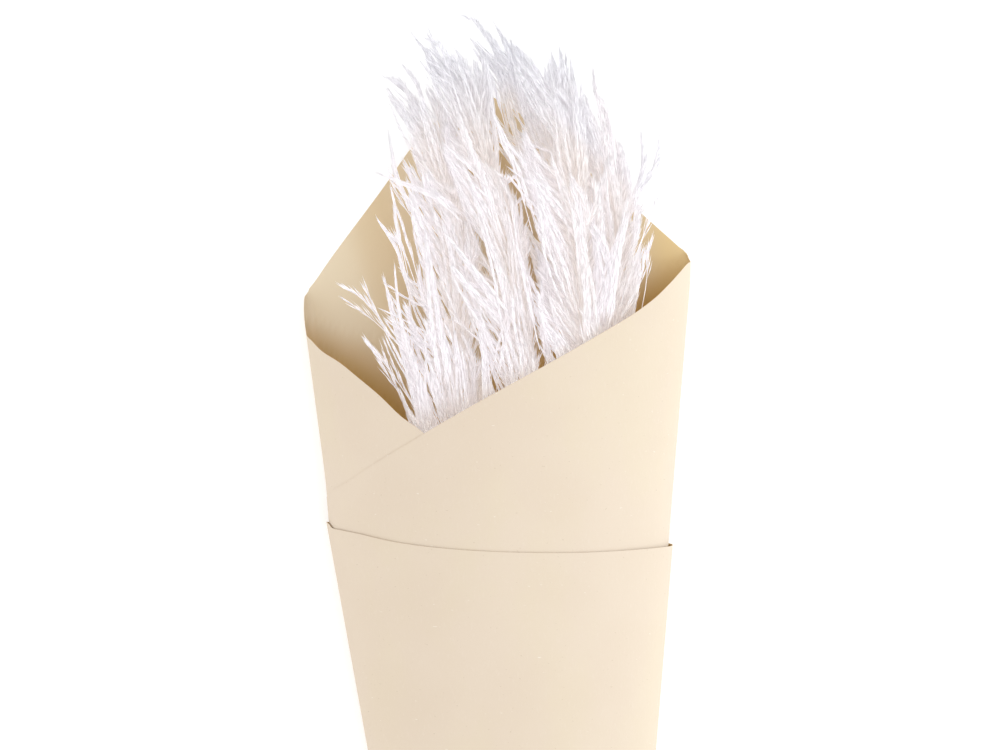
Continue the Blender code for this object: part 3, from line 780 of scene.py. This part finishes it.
def gathered(lines, draw):
    """The sprays drawn together at their tips, a few at a time, into pointed locks."""
    place = np.linspace(0.0, 1.0, lines.shape[1])[None, :, None]
    leaders = np.arange(SPRAYS_IN_LOCK // 2, len(lines), SPRAYS_IN_LOCK)
    lines = lines.copy()
    lines[leaders] += draw.normal(0.0, LOCK_STRAYING, (len(leaders), 1, 3)) * place**STRAYING_POWER
    tips = lines[:, -1]
    apart = np.linalg.norm((tips[:, None] - tips[None, leaders]) * NEARNESS, axis=-1)
    own = leaders[np.argmin(apart, axis=1)]
    tint = draw.uniform(0.0, 1.0, len(lines))
    return lines + (lines[own] - lines) * LOCK_PULL * place**LOCK_POWER, tint[own]


def spray_lines(number, draw):
    """A plume's sprays: points down their middles, by spray, step and axis, lengths and tints."""
    plume = PLUMES[number]
    stalk = plume["stalk"]
    low, high = stalk[0][1], stalk[-1][1]
    count = plume["sprays"]
    share = SPRAY_FROM + SPRAY_OVER * np.linspace(0.0, 1.0, count) ** SPRAY_CROWDING
    y = low + (high - low) * share
    angle = np.arange(count) * GOLDEN_ANGLE + draw.uniform(-SPRAY_TURN, SPRAY_TURN, count)
    length = SPRAY_LENGTH_LOW + (SPRAY_LENGTH_TIP - SPRAY_LENGTH_LOW) * share
    length = length * draw.uniform(*SPRAY_LENGTHS, count)
    reach = plume["reach"] * plume_profile(share) * draw.uniform(*SPRAY_REACHES, count)
    root, along = stalk_points(stalk, y)
    outward = turned(*square_to(along), angle)
    place = np.linspace(0.0, 1.0, SPRAY_STEPS)[None, :, None]
    spread = np.sin(place * np.pi / 2) ** SPREAD_POWER
    lines = root[:, None] + along[:, None] * length[:, None, None] * place
    lines = lines + outward[:, None] * reach[:, None, None] * spread
    sweep = np.array([plume["sweep"][0], 0.0, plume["sweep"][1]]) * draw.uniform(*SWEEPS, (count, 1))
    swept = np.maximum(np.clip(-np.cos(angle), 0.0, 1.0), np.clip(np.sin(angle), 0.0, 1.0))
    sweep = sweep * (length / SPRAY_LENGTH_LOW * (SWEEP_LEAST + SWEEP_MORE * swept))[:, None]
    lines = lines + sweep[:, None] * place**SWEEP_POWER
    sway = draw.normal(0.0, SWAY, (count, 1, 3))
    sway = sway * np.sin(place * np.pi * draw.uniform(*SWAY_WAVES, (count, 1, 1)))
    lines, tint = gathered(kept_clear(lines + sway, number, SPRAY_MARGIN), draw)
    return inside_paper(lines, SPRAY_ROOM), length, tint


def on_route(route, keys, places):
    """Points at some places along a route of points, each of which has a key."""
    return np.stack([np.interp(places, keys, route[:, axis]) for axis in range(3)], axis=-1)


def loose_locks(number, draw):
    """Sprays that stand out: points down their middles, lengths, tints, and which stand alone."""
    lines, tint, alone = [], [], []
    plume = PLUMES[number]
    rows = [(LOOSE_TINT, *lock) for lock in plume["locks"]]
    rows += [(RIBBON_TINT, *ribbon) for ribbon in plume["ribbons"]]
    steps = np.linspace(0.0, 1.0, SPRAY_STEPS)
    for shade, count, *points in rows:
        keys = np.linspace(0.0, 1.0, len(points))
        middle = np.stack([along_curve(list(zip(keys, values)), steps) for values in zip(*points)], axis=-1)
        for _ in range(count):
            apart = draw.normal(0.0, LOOSE_ROOM, 3) * (count > 1)
            end = draw.uniform(*LOOSE_ENDS)
            line = on_route(middle, steps, steps * end)
            lines.append(line + apart * (1 - LOOSE_CLOSING * steps[:, None]))
            alone.append(count <= STRAYS_AT_MOST)
            tint.append(shade)
    lines = np.array(lines)
    length = np.linalg.norm(np.diff(lines, axis=1), axis=-1).sum(axis=1)
    return lines, length, np.array(tint), np.array(alone)


def prism(sides, rings):
    """A closed upright prism about its middle, of height and radius 1, cut level into rings."""
    shape = bmesh.new()
    bmesh.ops.create_cone(shape, cap_ends=True, segments=sides, radius1=1.0, radius2=1.0, depth=1.0)
    upright = [edge for edge in shape.edges if abs(edge.verts[0].co.z - edge.verts[1].co.z) > 0.5]
    bmesh.ops.subdivide_edges(shape, edges=upright, cuts=rings - 2, use_grid_fill=True)
    return shape


def thin_template(stations):
    """A three-sided rod from the (place, width) of its rings: its corners and faces.

    Each corner is its two offsets square to the rod, in half-widths, and its place along it.
    """
    shape = prism(3, len(stations))
    for vertex in shape.verts:
        place, width = stations[round((vertex.co.z + 0.5) * (len(stations) - 1))]
        vertex.co = (vertex.co.x * width, vertex.co.y * width, place)
    bmesh.ops.remove_doubles(shape, verts=shape.verts[:], dist=1e-4)
    bmesh.ops.recalc_face_normals(shape, faces=shape.faces[:])
    corners = np.array([vertex.co for vertex in shape.verts])
    faces = [[vertex.index for vertex in face.verts] for face in shape.faces]
    shape.free()
    return corners, faces


def laid_copies(template, centres, across, upward, half_width, flatness):
    """Copies of a template along lines: centres holds a point for every corner of every copy."""
    corners, faces = template
    side = across * corners[:, 0][None, :, None] * half_width[:, None, None]
    rise = upward * (corners[:, 1] * flatness)[None, :, None] * half_width[:, None, None]
    points = centres + side + rise
    count, size = points.shape[:2]
    listed = [[corner + size * copy for corner in face] for copy in range(count) for face in faces]
    return points.reshape(-1, 3), listed


SPIKELET = thin_template([(0.0, 0.0), (SPIKELET_WIDEST, 1.0), (1.0, 0.0)])
TAPER = [
    (step / SPRAY_STALK_STEPS, 1.0 - SPRAY_STALK_TAPER * step / SPRAY_STALK_STEPS)
    for step in range(SPRAY_STALK_STEPS)
]
SPRAY_STALK = thin_template(TAPER + [(1.0, 0.0)])


def on_lines(lines, which, place):
    """Points and directions at some places along some of the lines."""
    steps = lines.shape[1] - 1
    at = np.clip(place, 0.0, 1.0) * steps
    index = np.minimum(at.astype(int), steps - 1)
    share = (at - index)[..., None]
    start, end = lines[which, index], lines[which, index + 1]
    before = lines[which, np.maximum(index - 1, 0)]
    return start + (end - start) * share, unit(end - before)


def spikelets(lines, length, tint, spacing, lean_most, span, draw):
    """The spikelets along a span of some sprays: their corners, faces and a tint for each corner."""
    counts = np.maximum((length * (span[1] - span[0]) / spacing).astype(int), SPIKELETS_AT_LEAST)
    which = np.repeat(np.arange(len(length)), counts)
    order = np.concatenate([np.arange(count) for count in counts])
    total = len(order)
    place = span[0] + (span[1] - span[0]) * (order + draw.uniform(0.0, 1.0, total)) / counts[which]
    root, along = on_lines(lines, which, place)
    angle = order * GOLDEN_ANGLE + draw.uniform(-SPIKELET_TURN, SPIKELET_TURN, total)
    outward = turned(*square_to(along), angle)
    lean = lean_most * draw.uniform(*SPIKELET_LEANS, total) * (1 - SPIKELET_UPRIGHT * place)
    size = SPIKELET_LENGTH * draw.uniform(*SPIKELET_LENGTHS, total) * (1 - SPIKELET_SHORTER * place)
    corners = SPIKELET[0]
    forward = corners[:, 2][None, :, None]
    run = turned(along, outward, lean)
    relax = (along - run) * draw.uniform(*SPIKELET_BENDS, (total, 1))
    bent = forward * run[:, None] + SPIKELET_BEND * forward**2 * relax[:, None]
    centres = root[:, None] + size[:, None, None] * bent
    side = turned(*square_to(run), draw.uniform(0.0, np.pi, total))
    rise = np.cross(run, side)
    broad = np.where(tint[which] < BROAD_SHARE, BROAD, 1.0)
    width = SPIKELET_HALF_WIDTH * draw.uniform(*SPIKELET_WIDTHS, total) * broad
    points, faces = laid_copies(SPIKELET, centres, side[:, None], rise[:, None], width, SPIKELET_FLATNESS)
    shade = tint[which] * TINT_OF_SPRAY + draw.uniform(0.0, TINT_OF_SPIKELET, total)
    return points, faces, np.repeat(shade, len(corners))


def spray_stalks(lines):
    """The thin stalks of some sprays, in the same form as their spikelets."""
    corners = SPRAY_STALK[0]
    which = np.repeat(np.arange(len(lines)), len(corners))
    centres, along = on_lines(lines, which, np.tile(corners[:, 2], len(lines)))
    across, upward = square_to(along)
    shaped = (len(lines), len(corners), 3)
    centres, first, second = [values.reshape(shaped) for values in (centres, upward, across)]
    widths = np.full(len(lines), SPRAY_STALK_WIDTH)
    points, faces = laid_copies(SPRAY_STALK, centres, first, second, widths, 1.0)
    return points, faces, np.full(len(points), SPRAY_STALK_TINT)


def plume_finish():
    """Silky dead flower parts: white, half see-through, creamier in patches, with a painted glow and painted
    shade deep down and at the tips.
    """
    shader = Shader("plume_silk")
    painted_shade, tip_grey_shade = shader.painted("painted_shade"), shader.painted("tip_grey_shade")
    patch = shader.noise(shader.place(), scale=60)
    # Painted shade deep in the bunch makes the silk creamier and its glow dimmer, as the cream patches do.
    cream_and_shade = painted_shade * 0.6 + shader.between(shader.painted("tint"), 0.6, 1.0) * 0.20
    cream_and_shade = cream_and_shade + shader.between(patch, 0.5, 0.8) * 0.10
    tone = shader.mix(tip_grey_shade, shader.mix(cream_and_shade, PLUME_WHITE, PLUME_CREAM_AND_SHADE), TIP_SHADE_GREY)
    # The glow is painted light for light scattered through the silk: dimmer in painted shade and at the thin
    # tips.
    glowing = shader.mix(tip_grey_shade, shader.mix(cream_and_shade, PLUME_GLOW, CREAM_AND_SHADE_GLOW), TIP_GLOW)
    bumps = shader.bumps(shader.grain((3000, 300, 3000)), strength=0.2, distance=0.0001)
    others = {"Normal": bumps, "Emission Color": glowing, "Emission Strength": GLOW_STRENGTH}
    skin = shader.skin(tone, roughness=0.6, shine=0.2, others=others)
    through = shader.node("ShaderNodeBsdfTranslucent", {}, {"Color": PLUME_WHITE})
    return shader.finish(shader.node("ShaderNodeMixShader", {}, {"Fac": SEE_THROUGH, 1: skin, 2: through}))


def plume_shades(points, plume):
    """The two painted shades of each point.

    The painted shade grows toward the main stalk, down in the mouth, low under the neighbours and
    low in the gap between the two groups. The painted grey of the thin tips grows toward the tips,
    most of all where they stand clear of the paper, and falls on the locks in front and in the gap.
    """
    x, y, z = points[:, 0], points[:, 1], points[:, 2]
    centre = stalk_points(plume["stalk"], y)[0]
    back_edge = np.minimum(*(line[0] + line[1] * x for line in (BACK_LEFT_LINE, BACK_RIGHT_LINE)))
    clear = CLEAR_SHARE * smooth_rise(y - back_edge, 0.0, CLEAR_OF_PAPER)
    sparse = SPARSE_SHARE * smooth_rise(x, *SPARSE_FROM) * (1 - smooth_rise(x, *SPARSE_TO))
    front = smooth_rise(z, *FRONT_RISE) * (1 - smooth_rise(y, *FRONT_ENDS))
    gap = (1 - smooth_rise(np.abs(x), *GAP_SIDES)) * (1 - smooth_rise(z, *GAP_FLOOR))
    gap = gap * (1 - smooth_rise(y, *GAP_ENDS))
    # Painted grey shade on the thin tips: up with height and where they stand clear of the paper, less in a
    # band on the right, on the locks in front and in the gap.
    tip_grey_shade = np.maximum(smooth_rise(y, *TIP_SHADE_RISE), clear) * (1 - sparse)
    tip_grey_shade = tip_grey_shade * (1 - FRONT_SHARE * front) * (1 - GAP_SHARE * gap)
    from_stalk = np.linalg.norm(points - centre, axis=-1) / (plume["reach"] * STALK_DEPTH_REACH)
    by_stalk = np.clip(STALK_DEPTH - from_stalk, 0.0, 1.0) * (1 - clear)
    in_mouth = 1 - smooth_rise(y - mouth_height(x), 0.0, np.interp(x, *zip(*MOUTH_DIM)))
    below = 1 - smooth_rise(z, *BELOW_RISE)
    return np.maximum.reduce([by_stalk, GAP_DEPTH * gap, in_mouth, below]), tip_grey_shade


def feather_mesh(name, parts, plume, material):
    """One object of several (corners, faces, tint) parts, shaded point by point."""
    points = inside_paper(np.concatenate([part[0] for part in parts]), 0.0)
    tint = np.concatenate([part[2] for part in parts])
    faces = []
    before = 0
    for part in parts:
        faces += [[corner + before for corner in face] for face in part[1]]
        before += len(part[0])
    mesh = bpy.data.meshes.new(name)
    mesh.from_pydata(points.tolist(), [], faces)
    painted_shade, tip_grey_shade = plume_shades(points, plume)
    for label, values in {"tint": tint, "painted_shade": painted_shade, "tip_grey_shade": tip_grey_shade}.items():
        attribute = mesh.attributes.new(label, "FLOAT", "POINT")
        attribute.data.foreach_set("value", values.astype(np.float32))
    return shown(name, mesh, material)


def plume_piece(number, material):
    draw = np.random.default_rng(SEED + number)
    inner = spray_lines(number, draw)
    *loose, alone = loose_locks(number, draw)
    stalks = spray_stalks(np.concatenate([inner[0], loose[0]]))
    sprays = [np.concatenate([values, others[~alone]]) for values, others in zip(inner, loose)]
    parts = [spikelets(*sprays, SPIKELET_SPACING, SPIKELET_LEAN, SPRAY_SPAN, draw), stalks]
    if alone.any():
        strays = [values[alone] for values in loose]
        parts.append(spikelets(*strays, STRAY_SPACING, STRAY_LEAN, STRAY_SPAN, draw))
    return feather_mesh(f"plume_{number + 1}_sprays", parts, PLUMES[number], material)


silk = plume_finish()
for number in range(len(PLUMES)):
    plume = plume_piece(number, silk)
    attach(plume, "root")
    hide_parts(f"plume_{number + 1}")


# The stems: one straw below each plume, round, smooth and streaked along its length, with a
# ring where each leaf grew. They were cut with a knife at slightly different lengths.
STEM_RADIUS = 0.0027
STEM_TAPER = 0.2
STEM_SIDES = 16
STEM_RINGS = 260
STEM_NODES = 3
NODE_START = 0.6
NODE_STAGGER = 0.08
NODE_SWELL = 0.0004
NODE_LENGTH = 0.0022
RING = (0.0, 2)
GROOVE = (1.3, 6)
GROOVE_DEPTH = 0.5
STRAW_WALL = 0.0008
STRAW_HOLLOW = 0.004
HOLLOW_TAPER = 0.0001
STRAW_SHARP_BEND = 0.8
CLEARANCE = 0.0003
CAD_PAPER = 0.0006
TWINE_RADIUS = 0.0011
TIE_PLACE = (0.013, -0.215)
STEM_END = -0.34
STEM_STAGGERS = 3
CUT_STAGGER = 0.006
STEM_SPLAY = 0.004
STRAW = (0.70, 0.57, 0.36, 1.0)
STRAW_STREAK = (0.52, 0.39, 0.20, 1.0)
STRAW_PALE = (0.80, 0.70, 0.50, 1.0)
NODE_BROWN = (0.36, 0.25, 0.12, 1.0)


def straw_finish():
    """Dry grass straw: fine streaks along it, browner rings at its nodes."""
    shader = Shader("straw")
    streaks = shader.grain((1800, 14, 1800), detail=3, roughness=0.6)
    broad = shader.grain((500, 6, 500))
    tone = shader.stained(STRAW, STRAW_STREAK, streaks, low=0.42, high=0.70, share=0.6)
    tone = shader.stained(tone, STRAW_PALE, broad, low=0.5, high=0.7, share=0.5)
    tone = shader.mix(shader.painted("ring") * 0.8, tone, NODE_BROWN)
    bumps = shader.bumps(streaks, strength=0.3, distance=0.0002)
    return shader.finish(shader.skin(tone, 0.42 + streaks * 0.2, 0.45, {"Normal": bumps}))


def stem_line(plume):
    """Points of a stem from its cut end, through the tie, to just below its plume."""
    across, row = plume["stem"]
    spacing = 2 * STEM_RADIUS + 2 * NODE_SWELL + CLEARANCE
    tie_floor = WRAP_LIFT + CAD_PAPER + 2 * TWINE_RADIUS + 2 * CLEARANCE
    height = tie_floor + STEM_RADIUS + NODE_SWELL + row * spacing * math.sin(math.pi / 3)
    tie = np.array([TIE_PLACE[0] + across * spacing, TIE_PLACE[1], height])
    cut = tie + np.array([across * STEM_SPLAY, STEM_END - TIE_PLACE[1], 0.0])
    return cut, tie, np.array(plume["stalk"][0])


def rod(sides, rings, laid, label):
    """A closed rod, a prism whose corners are laid in place, and its foot, the face at place 0.

    laid takes the corners' angles round the prism and their places up it, and gives their
    points and their values of the labelled shade.
    """
    shape = prism(sides, rings)
    foot = min(shape.faces, key=lambda face: face.calc_center_median().z)
    corners = np.array([vertex.co for vertex in shape.verts])
    points, shades = laid(np.arctan2(corners[:, 1], corners[:, 0]), corners[:, 2] + 0.5)
    layer = shape.verts.layers.float.new(label)
    for vertex, point, shade in zip(shape.verts, points, shades):
        vertex.co = point
        vertex[layer] = shade
    if shape.calc_volume(signed=True) < 0:
        bmesh.ops.reverse_faces(shape, faces=shape.faces[:])
    return shape, foot


def humps(y, nodes, past, sharpness):
    """A hump for each node, so many node lengths past it, and narrower where sharper."""
    apart = [(y - node[1] - past * NODE_LENGTH) / NODE_LENGTH for node in nodes]
    return sum(np.exp(-(lengths**2) * sharpness) for lengths in apart)


def straw_laid(number):
    """How one stem's corners are laid, with a ring at each node and a groove past it."""
    cut, tie, top = stem_line(PLUMES[number])
    stagger = (number + 1) % STEM_STAGGERS
    cut = cut + np.array([0.0, CUT_STAGGER * (stagger - 1), 0.0])
    steps = [index + NODE_START + NODE_STAGGER * stagger for index in range(STEM_NODES)]
    nodes = [tie + (top - tie) * step / STEM_NODES for step in steps]

    def laid(angle, place):
        y = cut[1] + (top[1] - cut[1]) * place
        share = np.clip((y - tie[1]) / (top[1] - tie[1]), 0.0, 1.0)
        below = np.clip((y - cut[1]) / (tie[1] - cut[1]), 0.0, 1.0)
        under_tie = cut + (tie - cut) * below[:, None]
        over_tie = tie + (top - tie) * share[:, None]
        centre = np.where((y < tie[1])[:, None], under_tie, over_tie)
        ring = humps(y, nodes, *RING)
        groove = humps(y, nodes, *GROOVE)
        radius = STEM_RADIUS * (1 - STEM_TAPER * share) + NODE_SWELL * (ring - GROOVE_DEPTH * groove)
        x, z = centre[:, 0] + radius * np.cos(angle), centre[:, 2] + radius * np.sin(angle)
        return np.stack([x, y, z], axis=-1), np.clip(ring + GROOVE_DEPTH * groove, 0.0, 1.0)

    return laid


straw = straw_finish()
for number in range(len(PLUMES)):
    shape, foot = rod(STEM_SIDES, STEM_RINGS, straw_laid(number), "ring")
    bmesh.ops.inset_individual(shape, faces=[foot], thickness=STRAW_WALL, depth=0.0)
    bmesh.ops.inset_individual(shape, faces=[foot], thickness=HOLLOW_TAPER, depth=-STRAW_HOLLOW)
    for edge in shape.edges:
        edge.smooth = edge.calc_face_angle(0.0) < STRAW_SHARP_BEND
    stem = finished(f"stem_{number + 1}_straw", shape, straw)
    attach(stem, "root")
    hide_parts(f"stem_{number + 1}")


# The tie: a length of two-ply jute twine wound two turns and a quarter round the gathered
# stems, each turn beside the last, with both its ends cut short.
TWINE_TURNS = 2.25
TWINE_SIDES = 16
TWINE_RINGS = 420
ROUTE_STEPS = 1200
LOOK_AHEAD = 0.0003
PLIES = 2
PLY_DEPTH = 0.26
PLY_PITCH = 0.0052
PLY_POWER = 1.5
JUTE = (0.56, 0.41, 0.24, 1.0)
JUTE_PALE = (0.72, 0.58, 0.38, 1.0)
JUTE_GROOVE_SHADE = (0.26, 0.17, 0.08, 1.0)


def twine_finish():
    """Jute: two hairy plies with painted shade in the groove between them."""
    shader = Shader("jute_twine")
    hairs = shader.grain((2600, 900, 2600), turn=(0, 0.6, 0.5), detail=4, roughness=0.7)
    tone = shader.stained(JUTE, JUTE_PALE, hairs, low=0.45, high=0.72, share=0.8)
    # Painted shade darkens the twine down in the groove between its plies.
    tone = shader.stained(tone, JUTE_GROOVE_SHADE, shader.painted("groove"), low=0.45, high=1.0, share=0.85)
    bumps = shader.bumps(hairs, strength=0.6, distance=0.0003)
    return shader.finish(shader.skin(tone, 0.92, 0.2, {"Normal": bumps}))


def twine_middle(turns):
    """Points down the middle of the twine, round the outline of the bundle."""
    ties = np.array([stem_line(plume)[1] for plume in PLUMES])
    offset = STEM_RADIUS + NODE_SWELL + CLEARANCE + TWINE_RADIUS
    angle = 2 * math.pi * turns
    level = np.zeros_like(turns)
    outward = np.stack([np.cos(angle), level, np.sin(angle)], axis=-1)
    furthest = ties[np.argmax(outward @ ties.T, axis=1)]
    pitch = (2 * TWINE_RADIUS + CLEARANCE) * (turns - TWINE_TURNS / 2)
    return furthest + outward * offset + np.stack([level, pitch, level], axis=-1)


def twine_laid(angle, place):
    """The twine's corners laid round its middle, and how deep each lies in a groove."""
    route = twine_middle(np.linspace(0.0, TWINE_TURNS, ROUTE_STEPS))
    run = np.concatenate([[0.0], np.cumsum(np.linalg.norm(np.diff(route, axis=0), axis=-1))])
    at = place * run[-1]
    along = unit(on_route(route, run, at + LOOK_AHEAD) - on_route(route, run, at - LOOK_AHEAD))
    side = unit(np.cross(along, (0.0, 1.0, 0.0)))
    groove = 0.5 - 0.5 * np.cos(PLIES * (angle - 2 * math.pi * at / PLY_PITCH))
    radius = TWINE_RADIUS * (1 - PLY_DEPTH * groove**PLY_POWER)
    around = turned(side, np.cross(along, side), angle)
    return on_route(route, run, at) + around * radius[:, None], groove


jute = twine_finish()
shape, foot = rod(TWINE_SIDES, TWINE_RINGS, twine_laid, "groove")
twine = finished("tie_twine", shape, jute)
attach(twine, "root")
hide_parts("stem_tie")
